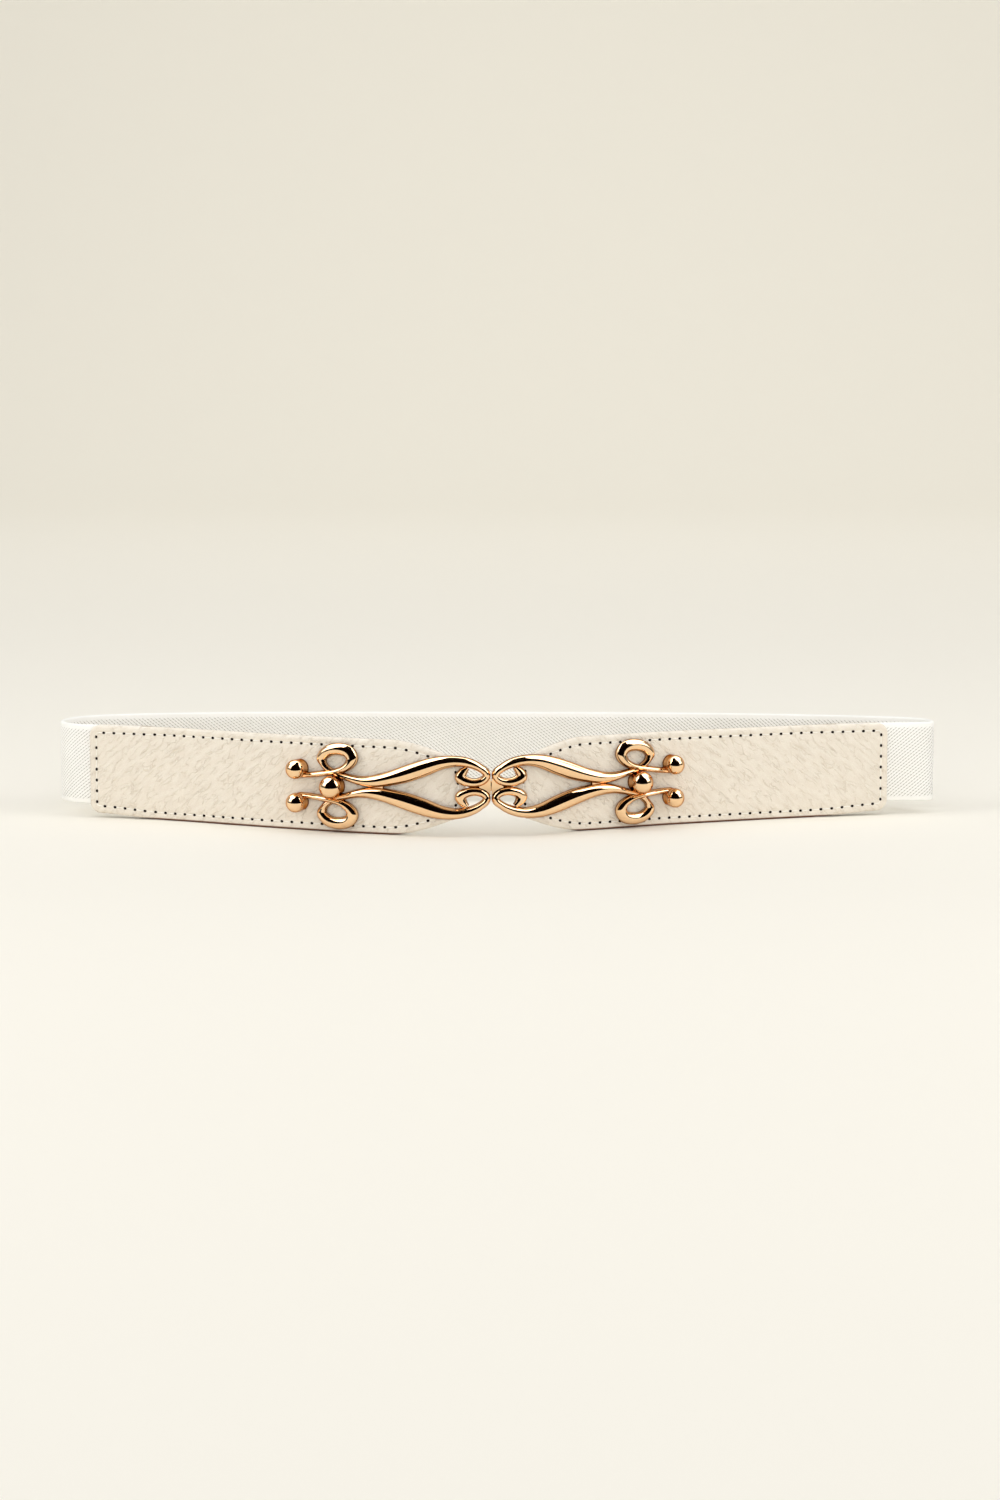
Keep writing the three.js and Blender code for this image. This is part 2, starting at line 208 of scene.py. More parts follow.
def linear(seen):
    """One part of a colour as it is seen, 0 to 255, as the linear value that shaders use."""
    share = seen / 255
    return ((share + 0.055) / 1.055) ** 2.4 if share > 0.04 else share / 12.92


def colour(red, green, blue):
    return [linear(red), linear(green), linear(blue), 1]


def add_node(tree, kind, inputs=(), **settings):
    """One shader node. settings are its own options, and inputs its sockets, each a value or a link."""
    made = tree.nodes.new("ShaderNode" + kind)
    for name, value in settings.items():
        setattr(made, name, value)
    for socket, value in dict(inputs).items():
        if isinstance(value, bpy.types.NodeSocket):
            tree.links.new(value, made.inputs[socket])
        else:
            made.inputs[socket].default_value = value
    return made


def calc(tree, operation, *values):
    """The result of a Math node."""
    return add_node(tree, "Math", dict(enumerate(values)), operation=operation).outputs[0]


def blend_colour(tree, share, first, second):
    """first where share is 0, second where it is 1."""
    mix = add_node(tree, "Mix", {"Factor": share}, data_type="RGBA")
    for socket, value in ((6, first), (7, second)):
        if isinstance(value, bpy.types.NodeSocket):
            tree.links.new(value, mix.inputs[socket])
        else:
            mix.inputs[socket].default_value = value
    return mix.outputs[2]


def between(tree, value, low, high):
    """0 below low, 1 above high, and a smooth step between them."""
    limits = {"Value": value, "From Min": low, "From Max": high}
    return add_node(tree, "MapRange", limits, interpolation_type="SMOOTHSTEP").outputs[0]


def make_group(name, inputs, outputs):
    """An empty shader group, with the sockets of its two ends."""
    group = bpy.data.node_groups.new(name, "ShaderNodeTree")
    for label, kind, default in inputs:
        group.interface.new_socket(label, in_out="INPUT", socket_type=kind).default_value = default
    for label, kind in outputs:
        group.interface.new_socket(label, in_out="OUTPUT", socket_type=kind)
    source = group.nodes.new("NodeGroupInput")
    sink = group.nodes.new("NodeGroupOutput")
    return group, source.outputs, sink.inputs


def use_group(tree, group, **inputs):
    """The group in a material, with its inputs set by name, a _ for each space."""
    made = tree.nodes.new("ShaderNodeGroup")
    made.node_tree = group
    for name, value in inputs.items():
        made.inputs[name.replace("_", " ")].default_value = value
    return made.outputs


def cloudy_variation():
    """Soft uneven patches over the whole piece, for tints and for how evenly a surface is polished."""
    group, source, sink = make_group(
        "Cloudy variation",
        [("Patch Size", "NodeSocketFloat", 10.0), ("Contrast", "NodeSocketFloat", 1.0)],
        [("Value", "NodeSocketFloat")],
    )
    place = add_node(group, "TexCoord").outputs["Object"]
    scale = calc(group, "DIVIDE", 1 / MM, source["Patch Size"])
    cloud = add_node(group, "TexNoise", {"Vector": place, "Scale": scale, "Detail": 4.0, "Roughness": 0.6})
    spread = calc(group, "MULTIPLY", calc(group, "SUBTRACT", cloud.outputs[0], 0.5), source["Contrast"])
    group.links.new(calc(group, "ADD", spread, 0.5), sink["Value"])
    return group


cloudy = cloudy_variation()


def new_material(name):
    material = bpy.data.materials.new(name)
    material.use_nodes = True
    return material, material.node_tree, material.node_tree.nodes["Principled BSDF"]


def woven_elastic():
    """White yarn in diagonal ribs. Between the ribs lie rows of short gaps where the yarns cross, and the rib
    valleys are painted grey as shade, darkest at those gaps.
    """
    material, tree, shader = new_material("woven_elastic")
    flat = add_node(tree, "UVMap", uv_map="strip").outputs[0]
    split = add_node(tree, "SeparateXYZ", {0: flat})
    along, up = split.outputs[0], split.outputs[1]
    lean = calc(tree, "MULTIPLY", calc(tree, "SUBTRACT", up, BAND_WIDTH / 2), 1 / math.tan(RIB_ANGLE))
    rib = calc(tree, "DIVIDE", calc(tree, "SUBTRACT", along, lean), RIB_PITCH)
    phase = calc(tree, "FRACT", rib)
    crest = calc(tree, "SUBTRACT", 1.0, calc(tree, "ABSOLUTE", calc(tree, "MULTIPLY_ADD", phase, 2.0, -1.0)))
    valley = between(tree, crest, RIB_VALLEY, 0.05)
    step = calc(tree, "MULTIPLY", calc(tree, "FLOOR", calc(tree, "ADD", rib, 0.5)), 0.5)
    yarn = calc(tree, "FRACT", calc(tree, "ADD", calc(tree, "DIVIDE", up, YARN_PITCH), step))
    from_gap = calc(tree, "ABSOLUTE", calc(tree, "SUBTRACT", yarn, 0.5))
    gap_share = calc(tree, "MULTIPLY_ADD", between(tree, from_gap, 0.42, 0.16), 0.65, 0.35)
    from_edge = calc(tree, "MINIMUM", up, calc(tree, "SUBTRACT", float(BAND_WIDTH), up))
    woven = between(tree, from_edge, SELVEDGE * 0.8, SELVEDGE * 1.2)
    # Painted shade: the rib valleys are coloured grey, most at the gaps between yarns, but not on the
    # selvedges.
    dark = calc(tree, "MULTIPLY", calc(tree, "MULTIPLY", valley, gap_share), woven)
    patches = use_group(tree, cloudy, Patch_Size=14.0, Contrast=1.6)["Value"]
    tint = blend_colour(tree, patches, colour(*YARN_WHITE), colour(*YARN_CREAM))
    shaded = blend_colour(tree, dark, tint, colour(*VALLEY_SHADE_GREY))
    yarn_height = calc(tree, "MULTIPLY", calc(tree, "SINE", calc(tree, "MULTIPLY", yarn, math.pi)), 0.35)
    height = calc(tree, "SUBTRACT", yarn_height, dark)
    bump = add_node(tree, "Bump", {"Height": height, "Strength": 0.5, "Distance": 0.12 * MM})
    tree.links.new(shaded, shader.inputs["Base Color"])
    tree.links.new(bump.outputs[0], shader.inputs["Normal"])
    shader.inputs["Roughness"].default_value = 0.85
    shader.inputs["Sheen Weight"].default_value = 0.15
    shader.inputs["Sheen Roughness"].default_value = 0.5
    return material


webbing, webbing_length = make_webbing()
webbing.data.materials.append(woven_elastic())
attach(webbing, "root")
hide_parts("elastic_band")

# Leather tabs
# Each end of the belt is two layers of ivory grained leather with rolled edges, pulled in along one seam all
# round. The nose at the buckle is tapered and rounded, and the outer end is square.
NOSE_LENGTH = 5
NOSE_WIDTH = 21.2
TAPER_LENGTH = 20
TAPER_BEND = 1.6
CORNER_RADIUS = 3.6
END_LIFT = 1.6
LIFT_LENGTH = 30
RAMP_LENGTH = 7
LEATHER = 1.2
SEAT_GAP = 0.3
EDGE_ROLL = 1.5
RIM = 0.3
SEAM_IN = 2.5
SEAM_DIP = 0.22
SEAM_HALF_WIDTH = 0.55
PILLOW = 0.12
PILLOW_REACH = 3
SWELL = 0.03
SWELL_SIZE = (7.5, 1.9)
CREASE_SLANT = math.radians(-42)
CREASE_SIZE = (3.9, 1.3)
CREASE_DRIFT = 2.2
CREASE_SHADE_SHARE = 0.36
PIT_SHADE_SHARE = 0.1
STITCH = 3.7
HOLE_HALF = (0.56, 0.44)
CONTACT_SHADE_BAND = (0.4, 0.95)
LEATHER_FACE = SEAT_GAP / 2 + LEATHER
OUTLINE_STEP = 0.25
NOSE_COLUMNS = 18
RUN_COLUMNS = 118
MIDDLE_ROWS = 22
IVORY = (241, 233, 220)
WARM_IVORY = (238, 229, 214)
DEEP_IVORY = (235, 225, 210)
# Browns of painted shade: in the creases, in the grain's hollows, along the lower edge and in the needle
# holes.
CREASE_SHADE_BROWN = (214, 197, 171)
PIT_SHADE_BROWN = (200, 184, 160)
CONTACT_SHADE_BROWN = (104, 56, 26)
HOLE_SHADE_BROWN = (26, 11, 5)


def smooth_step(value, low, high):
    share = np.clip((value - low) / (high - low), 0, 1)
    return share * share * (3 - 2 * share)


def tab_half(along):
    """Half the tab's width at a distance from the parting line."""
    nose_end = TAB_TIP_AT + NOSE_LENGTH
    nose = NOSE_WIDTH / 2 * np.sqrt(np.clip(1 - ((nose_end - along) / NOSE_LENGTH) ** 2, 0, 1))
    widened = 1 - np.clip(1 - (along - nose_end) / TAPER_LENGTH, 0, 1) ** TAPER_BEND
    taper = NOSE_WIDTH / 2 + (TAB_WIDTH - NOSE_WIDTH) / 2 * widened
    corner = np.clip(along - (TAB_END - CORNER_RADIUS), 0, CORNER_RADIUS)
    square = TAB_WIDTH / 2 - CORNER_RADIUS + np.sqrt(CORNER_RADIUS**2 - corner**2)
    return np.where(along < nose_end, nose, np.minimum(taper, square))


def tab_up(along, across):
    """Height on the tab of a place across it, -1 at the lower edge and 1 at the upper edge."""
    lift = END_LIFT * smooth_step(along, TAB_END - LIFT_LENGTH, TAB_END)
    return TAB_WIDTH / 2 + across * tab_half(along) + lift * (1 - across) / 2


def tab_outline(inset=0.0):
    """Points of the tab's outline, or of a line inside it, evenly spaced and once round from the nose."""
    turn = np.linspace(0, math.pi / 2, 60)
    nose = TAB_TIP_AT + NOSE_LENGTH * (1 - np.cos(turn))
    run = np.linspace(TAB_TIP_AT + NOSE_LENGTH, TAB_END - CORNER_RADIUS, 300)
    corner = TAB_END - CORNER_RADIUS + CORNER_RADIUS * np.sin(turn)
    along = np.concatenate([nose, run[1:], corner[1:]])
    upper = np.stack([along, tab_up(along, 1)], axis=1)
    lower = np.stack([along, tab_up(along, -1)], axis=1)
    loop = np.concatenate([upper, lower[::-1], upper[:1]])
    loop = loop[np.concatenate([[True], np.linalg.norm(np.diff(loop, axis=0), axis=1) > 1e-6])]
    for _ in range(2):
        step = np.diff(loop, axis=0)
        length = np.concatenate([[0], np.cumsum(np.linalg.norm(step, axis=1))])
        count = int(length[-1] / OUTLINE_STEP)
        even = np.linspace(0, length[-1], count + 1)
        loop = np.stack([np.interp(even, length, loop[:, i]) for i in (0, 1)], axis=1)
        if not inset:
            break
        way = np.roll(loop[:-1], -1, axis=0) - np.roll(loop[:-1], 1, axis=0)
        way /= np.linalg.norm(way, axis=1)[:, None]
        inner = loop[:-1] + inset * np.stack([way[:, 1], -way[:, 0]], axis=1)
        gap = np.linalg.norm(inner[:, None] - loop[None, :-1], axis=2).min(axis=1)
        inner = inner[gap > inset - 0.05]
        loop = np.concatenate([inner, inner[:1]])
        inset = 0.0
    return loop


def nearest(points, loop):
    """For each point, its distance to a loop of points, and how far round the loop the nearest place is."""
    start, step = loop[:-1], np.diff(loop, axis=0)
    size = np.linalg.norm(step, axis=1)
    round_at = np.concatenate([[0], np.cumsum(size)])[:-1]
    share = np.clip(np.einsum("pld,ld->pl", points[:, None] - start[None], step) / size**2, 0, 1)
    gap = np.linalg.norm(points[:, None] - (start[None] + share[..., None] * step[None]), axis=2)
    best = gap.argmin(axis=1)
    rows = np.arange(len(points))
    return gap[rows, best], round_at[best] + share[rows, best] * size[best]


outline = tab_outline()
seam = tab_outline(inset=SEAM_IN)
SEAM_LENGTH = np.linalg.norm(np.diff(seam, axis=0), axis=1).sum()
STITCH_COUNT = round(SEAM_LENGTH / STITCH)

# Columns and rows of a tab's mesh lie closer together near its edges.
EDGE_STEPS = np.array([0, 0.1, 0.28, 0.55, 0.9, 1.3, 1.75, 2.1, 2.5, 2.9, 3.3, 3.9])
nose_columns = TAB_TIP_AT + NOSE_LENGTH * (1 - np.cos(np.linspace(0, math.pi / 2, NOSE_COLUMNS)[1:]))
tab_columns = np.concatenate([
    nose_columns,
    np.linspace(nose_columns[-1], TAB_END - EDGE_STEPS[-1], RUN_COLUMNS)[1:],
    TAB_END - EDGE_STEPS[-2::-1],
])
row_edge = 1 - EDGE_STEPS / (TAB_WIDTH / 2)
middle_rows = np.linspace(-row_edge[-1], row_edge[-1], MIDDLE_ROWS)[1:-1]
tab_rows = np.concatenate([-row_edge, middle_rows, row_edge[::-1]])


def leather_near(along):
    """Distance out to the inner face of a layer, which parts from its fellow to take the webbing."""
    ramp_end = TAB_END - BAND_LAP - SEAT_GAP
    parted = BAND_THICKNESS / 2 + SEAT_GAP
    return SEAT_GAP / 2 + (parted - SEAT_GAP / 2) * smooth_step(along, ramp_end - RAMP_LENGTH, ramp_end)


def leather_rise(gap, from_seam):
    """How far the outer face stands above the inner one, by the distances from the edge and the seam."""
    roll = np.sqrt(np.clip(1 - (1 - np.clip(gap / EDGE_ROLL, 0, 1)) ** 2, 0, 1))
    rise = RIM + (LEATHER - RIM) * roll
    groove = SEAM_DIP * np.exp(-((from_seam / SEAM_HALF_WIDTH) ** 2))
    inside = np.clip(gap - SEAM_IN, 0, None)
    return rise - groove + PILLOW * (1 - np.exp(-inside / PILLOW_REACH)) - PILLOW


def swells(points, seed):
    """Shallow slanting swells of soft leather, in millimetres."""
    across = points[:, 1] * math.cos(CREASE_SLANT) - points[:, 0] * math.sin(CREASE_SLANT)
    length = points[:, 1] * math.sin(CREASE_SLANT) + points[:, 0] * math.cos(CREASE_SLANT)
    places = zip(across / SWELL_SIZE[1], length / SWELL_SIZE[0], strict=True)
    return np.array([noise.noise(Vector((a, b, seed))) for a, b in places]) * SWELL


def make_tab_layer(name, side, facing):
    """One leather layer. side is 1 for the right tab, and facing 1 for the layer that shows."""
    along, across = np.meshgrid(tab_columns, tab_rows, indexing="ij")
    up = tab_up(along, across)
    flat = np.stack([along.ravel(), up.ravel()], axis=1)
    gap, _ = nearest(flat, outline)
    gap = np.where((np.abs(across.ravel()) == 1) | (along.ravel() == TAB_END), 0, gap)
    from_seam, round_seam = nearest(flat, seam)
    inner = leather_near(along)
    seed = 3.7 * side + facing
    fade = smooth_step(gap, 0.4, 2.0)
    rise = (leather_rise(gap, from_seam) + swells(flat, seed) * fade).reshape(along.shape)
    back_rows = [-1, -len(tab_rows) // 3, len(tab_rows) // 3, 0]
    ring_along = np.concatenate([along, along[:, back_rows]], axis=1)
    ring_up = np.concatenate([up, up[:, back_rows]], axis=1)
    ring_out = np.concatenate([inner + rise, inner[:, back_rows]], axis=1) * facing
    points = on_strip(side * ring_along, ring_up, ring_out)
    from_seam = np.where(gap < SEAM_IN, -from_seam, from_seam).reshape(along.shape)
    stitches = (round_seam * STITCH_COUNT / SEAM_LENGTH).reshape(along.shape)
    hidden = np.full(along[:, back_rows].shape, 10.0)
    pairs = [np.concatenate([shown, hidden], axis=1) for shown in (stitches, from_seam)]
    seam_map = np.stack(pairs, axis=-1)
    flat_map = np.stack([ring_along, ring_up], axis=-1)
    faces = ring_faces(*ring_along.shape)
    if side * facing < 0:
        faces = [face[::-1] for face in faces]
    return make_piece(name, points, faces, [("tab", flat_map), ("seam", seam_map)], smooth_below=65)


def mend_seam_map(piece):
    """Corners of a face lie on both sides of the seam's start: the low ones count on from the end."""
    mesh = piece.data
    layer = mesh.uv_layers["seam"].uv
    pairs = np.empty(len(mesh.loops) * 2, np.float32)
    layer.foreach_get("vector", pairs)
    pairs = pairs.reshape(-1, 2)
    for face in mesh.polygons:
        corners = slice(face.loop_start, face.loop_start + face.loop_total)
        counts = pairs[corners, 0]
        if counts.max() - counts.min() > STITCH_COUNT / 2:
            pairs[corners, 0] = np.where(counts < STITCH_COUNT / 2, counts + STITCH_COUNT, counts)
    layer.foreach_set("vector", pairs.ravel())


def needle_hole(tree):
    """1 in each needle hole of the seam, and 0 elsewhere."""
    at = add_node(tree, "SeparateXYZ", {0: add_node(tree, "UVMap", uv_map="seam").outputs[0]})
    beside = calc(tree, "SUBTRACT", calc(tree, "FRACT", at.outputs[0]), 0.5)
    along = calc(tree, "MULTIPLY", beside, SEAM_LENGTH / STITCH_COUNT / HOLE_HALF[0])
    across = calc(tree, "DIVIDE", at.outputs[1], HOLE_HALF[1])
    place = add_node(tree, "CombineXYZ", {0: along, 1: across}).outputs[0]
    reach = add_node(tree, "VectorMath", {0: place}, operation="LENGTH").outputs["Value"]
    return between(tree, reach, 1.15, 0.85)


def grained_leather():
    """Ivory leather with fine pebbled grain, slanting creases, a soft sheen, and painted shade in creases,
    grain hollows, needle holes and along the lower edge.
    """
    material, tree, shader = new_material("ivory_leather")
    flat = add_node(tree, "UVMap", uv_map="tab").outputs[0]
    laid = {0: flat, "Rotation": (0, 0, CREASE_SLANT), "Scale": (*CREASE_SIZE, 1)}
    turned = add_node(tree, "Mapping", laid, vector_type="TEXTURE").outputs[0]
    drift = add_node(tree, "TexNoise", {0: turned, "Scale": 0.8, "Detail": 2.0, "Roughness": 0.5}).outputs[1]
    fields = add_node(tree, "SeparateColor", {0: drift}).outputs
    push = {0: drift, 1: (CREASE_DRIFT, CREASE_DRIFT, 0)}
    shaken = add_node(tree, "VectorMath", push, operation="MULTIPLY").outputs[0]
    moved = add_node(tree, "VectorMath", {0: turned, 1: shaken}, operation="ADD").outputs[0]
    folds = add_node(tree, "TexVoronoi", {0: moved, "Scale": 1.0}, feature="DISTANCE_TO_EDGE")
    deep = between(tree, fields[2], 0.4, 0.62)
    crease = calc(tree, "MULTIPLY", between(tree, folds.outputs["Distance"], 0.1, 0.0), deep)
    pebble = add_node(tree, "TexVoronoi", {0: flat, "Scale": 1.5}, feature="DISTANCE_TO_EDGE")
    grain = between(tree, pebble.outputs["Distance"], 0.0, 0.22)
    fine = add_node(tree, "TexNoise", {0: flat, "Scale": 3.2, "Detail": 4.0}).outputs[0]
    hole = needle_hole(tree)
    patches = use_group(tree, cloudy, Patch_Size=9.0, Contrast=1.8)["Value"]
    streak = between(tree, fields[0], 0.3, 0.7)
    pale = blend_colour(tree, patches, colour(*IVORY), colour(*WARM_IVORY))
    tint = blend_colour(tree, streak, colour(*DEEP_IVORY), pale)
    # Painted shade: the creases and the hollows between the grain's pebbles are coloured browner.
    crease_shaded = blend_colour(tree, calc(tree, "MULTIPLY", crease, CREASE_SHADE_SHARE), tint, colour(*CREASE_SHADE_BROWN))
    pit_shade = calc(tree, "MULTIPLY", calc(tree, "SUBTRACT", 1.0, grain), PIT_SHADE_SHARE)
    pit_shaded = blend_colour(tree, pit_shade, crease_shaded, colour(*PIT_SHADE_BROWN))
    height = add_node(tree, "SeparateXYZ", {0: flat}).outputs[1]
    # Painted contact shadow: a dark brown band along the lower edge, where the leather stands on the floor.
    contact_shade = between(tree, height, CONTACT_SHADE_BAND[1], CONTACT_SHADE_BAND[0])
    contact_shaded = blend_colour(tree, contact_shade, pit_shaded, colour(*CONTACT_SHADE_BROWN))
    # Painted shade: the needle holes are coloured nearly black, as the shade inside them.
    hole_shaded = blend_colour(tree, hole, contact_shaded, colour(*HOLE_SHADE_BROWN))
    relief = calc(tree, "SUBTRACT", calc(tree, "MULTIPLY", grain, 0.1), crease)
    relief = calc(tree, "MULTIPLY_ADD", fine, 0.15, relief)
    relief = calc(tree, "MULTIPLY_ADD", hole, -3.0, relief)
    bump = add_node(tree, "Bump", {"Height": relief, "Strength": 0.6, "Distance": 0.3 * MM})
    rough = calc(tree, "MAXIMUM", calc(tree, "MULTIPLY_ADD", patches, 0.12, 0.42), hole)
    tree.links.new(hole_shaded, shader.inputs["Base Color"])
    tree.links.new(rough, shader.inputs["Roughness"])
    tree.links.new(bump.outputs[0], shader.inputs["Normal"])
    shader.inputs["Specular IOR Level"].default_value = 0.4
    return material


leather = grained_leather()
for side, place in ((-1, "left"), (1, "right")):
    for facing, face_name in ((1, "front"), (-1, "back")):
        name = "tab_" + place if facing > 0 else "tab_" + place + "_lining"
        layer = make_tab_layer(name, side, facing)
        mend_seam_map(layer)
        layer.data.materials.append(leather)
        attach(layer, "root")
        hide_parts(f"tab_{place}_{face_name}")

# Seam thread
# Off-white thread holds the two layers together. Each stitch runs in the groove from one needle hole to the
# next and dips into both.
THREAD_RADIUS = 0.2
THREAD_CORNERS = 6
THREAD_STATIONS = 9
THREAD_STAND = 0.12
THREAD_SINK = 0.7
STITCH_REACH = 0.96
THREAD_WHITE = (252, 249, 241)
THREAD_CREAM = (240, 233, 219)


def make_stitches(name, side, facing):
    loop_at = np.concatenate([[0], np.cumsum(np.linalg.norm(np.diff(seam, axis=0), axis=1))])
    pitch = SEAM_LENGTH / STITCH_COUNT
    share = np.linspace(0, 1, THREAD_STATIONS)
    turn = np.linspace(0, 2 * math.pi, THREAD_CORNERS, endpoint=False)
    level = leather_rise(np.array([SEAM_IN]), np.array([0.0]))[0]
    bow = THREAD_STAND - THREAD_SINK * np.abs(2 * share - 1) ** 4
    points, faces = [], []
    for count in range(STITCH_COUNT):
        round_at = np.mod((count + 1 + STITCH_REACH * (share - 0.5)) * pitch, SEAM_LENGTH)
        place = np.stack([np.interp(round_at, loop_at, seam[:, i]) for i in (0, 1)], axis=1)
        way = np.gradient(place, axis=0)
        way /= np.linalg.norm(way, axis=1)[:, None]
        aside = np.stack([-way[:, 1], way[:, 0]], axis=1)
        centre_out = leather_near(place[:, 0]) + level + bow
        across = THREAD_RADIUS * np.cos(turn)[None, :]
        lift = THREAD_RADIUS * 0.8 * np.sin(turn)[None, :]
        along = place[:, :1] + aside[:, :1] * across
        up = place[:, 1:] + aside[:, 1:] * across
        out = centre_out[:, None] + lift
        points.append(on_strip(side * along, up, facing * out).reshape(-1, 3))
        first = count * THREAD_STATIONS * THREAD_CORNERS
        flip = -1 if side * facing > 0 else 1
        for face in ring_faces(THREAD_STATIONS, THREAD_CORNERS):
            faces.append([first + corner for corner in face][::flip])
    return make_piece(name, np.concatenate(points), faces, smooth_below=70)


def seam_thread():
    """Twisted off-white sewing thread."""
    material, tree, shader = new_material("seam_thread")
    patches = use_group(tree, cloudy, Patch_Size=1.2, Contrast=2.0)["Value"]
    tint = blend_colour(tree, patches, colour(*THREAD_WHITE), colour(*THREAD_CREAM))
    tree.links.new(tint, shader.inputs["Base Color"])
    shader.inputs["Roughness"].default_value = 0.75
    return material


thread = seam_thread()
for side, place in ((-1, "left"), (1, "right")):
    for facing, face_name in ((1, "front"), (-1, "back")):
        stitches = make_stitches(f"stitches_{place}_{face_name}", side, facing)
        stitches.data.materials.append(thread)
        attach(stitches, "root")

# Scroll buckle
# Each half is one polished gold casting: two arms that curl in at the parting line, a ring and a stud at the
# tail of each, and a larger stud between them. Two rivet posts hold it through the leather.
CASTING_LENGTH = 64.8
CASTING_HEIGHT = 28.4
CASTING_AXIS = 15.3
CASTING_RISE = 1.3
PARTING_GAP = 0.3
ARM_WIDTH = 5.6
ARM_HEIGHT = 3.2
CASTING_BACK = LEATHER_FACE + SEAT_GAP
STEM = [
    dict(along=0.872, across=0.61, wide=0.5, high=0.6),
    dict(along=0.848, across=0.45, wide=0.4, high=0.62),
    dict(along=0.8, across=0.31, wide=0.38, high=0.64),
    dict(along=0.74, across=0.23, wide=0.4, high=0.72),
    dict(along=0.66, across=0.143, wide=0.54, high=0.84),
    dict(along=0.58, across=0.14, wide=0.74, high=0.96),
    dict(along=0.5, across=0.215, wide=0.86, high=1),
    dict(along=0.42, across=0.32, wide=1, high=1),
    dict(along=0.33, across=0.46, wide=0.98, high=1),
    dict(along=0.25, across=0.573, wide=0.8, high=1),
    dict(along=0.175, across=0.61, wide=0.64, high=0.98),
    dict(along=0.115, across=0.57, wide=0.58, high=0.95),
    dict(along=0.065, across=0.475, wide=0.5, high=0.92),
    dict(along=0.036, across=0.375, wide=0.42, high=0.86),
]
RING = [
    dict(along=0.858, across=0.52, wide=0.46, high=0.6),
    dict(along=0.87, across=0.64, wide=0.62, high=0.66),
    dict(along=0.839, across=0.8, wide=0.68, high=0.72),
    dict(along=0.785, across=0.868, wide=0.71, high=0.76),
    dict(along=0.725, across=0.815, wide=0.75, high=0.8),
    dict(along=0.702, across=0.66, wide=0.74, high=0.84),
    dict(along=0.722, across=0.49, wide=0.54, high=0.88),
    dict(along=0.775, across=0.362, wide=0.4, high=0.92),
    dict(along=0.85, across=0.3, wide=0.36, high=0.9),
    dict(along=0.93, across=0.25, wide=0.34, high=0.8),
    dict(along=0.985, across=0.235, wide=0.33, high=0.74),
]
CURL = [
    dict(along=0.062, across=0.465, wide=0.46, high=0.88),
    dict(along=0.0275, across=0.345, wide=0.47, high=0.87),
    dict(along=0.0225, across=0.24, wide=0.46, high=0.83),
    dict(along=0.04, across=0.15, wide=0.5, high=0.8),
    dict(along=0.078, across=0.1, wide=0.52, high=0.78),
    dict(along=0.12, across=0.13, wide=0.56, high=0.74),
    dict(along=0.151, across=0.225, wide=0.66, high=0.68),
    dict(along=0.137, across=0.36, wide=0.52, high=0.6),
    dict(along=0.117, across=0.45, wide=0.3, high=0.5),
]
STUDS = [
    dict(along=0.8, across=0, radius=3.7),
    dict(along=0.993, across=0.392, radius=3.2),
    dict(along=0.993, across=-0.392, radius=3.2),
]
STUD_STAND = 3.9
STUD_SIDES = 40
COLLAR_SHARE = 0.95
WEB = dict(length=3.6, height=5.4, thickness=1.2, lean=0.3)
POSTS = [dict(along=0.56), dict(along=0.8)]
POST_RADIUS = 1.4
POST_HEAD = dict(radius=3, thickness=0.9)
POST_SIDES = 28
SIDE_WALL = 0.18
CROWN_CORNERS = 15
WALL_SHADE = (0.3, 1.4)
PALE_GOLD = (253, 219, 177)
WARM_GOLD = (250, 209, 162)
# The brown of the painted shade low on the casting's walls.
WALL_SHADE_BROWN = (96, 54, 28)
EDGE_GOLD = (190, 120, 70)


def catmull_rom(rows, steps):
    """Points of a smooth curve through the rows, evenly shared out between them."""
    rows = np.asarray(rows, float)
    rows = np.concatenate([[2 * rows[0] - rows[1]], rows, [2 * rows[-1] - rows[-2]]])
    spans = len(rows) - 3
    where = np.linspace(0, spans, steps + 1)
    index = np.minimum(where.astype(int), spans - 1)
    points = []
    for span, share in zip(index, where - index, strict=True):
        p = rows[span:span + 4]
        knot = np.concatenate([[0], np.cumsum(np.linalg.norm(np.diff(p, axis=0), axis=1) ** 0.5)])
        t = knot[1] + share * (knot[2] - knot[1])
        for level in (1, 2, 3):
            p = [
                ((knot[i + level] - t) * p[i] + (t - knot[i]) * p[i + 1]) / (knot[i + level] - knot[i])
                for i in range(len(p) - 1)
            ]
        points.append(p[0])
    return np.array(points)


def axis_height(along):
    return CASTING_AXIS + CASTING_RISE * (1 - along / CASTING_LENGTH)


def arm_section():
    """Once round an arm's section, as shares of half its width and of its height, from the flat back."""
    turn = np.linspace(0, math.pi, CROWN_CORNERS)
    crown = np.stack([np.cos(turn), SIDE_WALL + (1 - SIDE_WALL) * np.sin(turn)], axis=1)
    return np.concatenate([[(-0.9, 0), (0.9, 0)], crown])


def flat_stroke(rows, mirror, steps):
    """One stroke of the casting, laid out flat, as points along, up and out and their faces."""
    places = [(row["along"] * CASTING_LENGTH, row["across"] * CASTING_HEIGHT / 2) for row in rows]
    sizes = [(i, row["wide"] * ARM_WIDTH, row["high"] * ARM_HEIGHT) for i, row in enumerate(rows)]
    centre = catmull_rom(places, steps)
    size = catmull_rom(sizes, steps)
    way = np.gradient(centre, axis=0)
    way /= np.linalg.norm(way, axis=1)[:, None]
    over, high = arm_section().T
    aside = over[None, :] * size[:, 1:2] / 2
    along = centre[:, :1] - way[:, 1:] * aside
    across = centre[:, 1:] + way[:, :1] * aside
    up = axis_height(along) + mirror * across
    out = CASTING_BACK + high[None, :] * size[:, 2:3]
    faces = ring_faces(*along.shape)
    if mirror < 0:
        faces = [face[::-1] for face in faces]
    return np.stack([along, up, out], axis=-1).reshape(-1, 3), faces


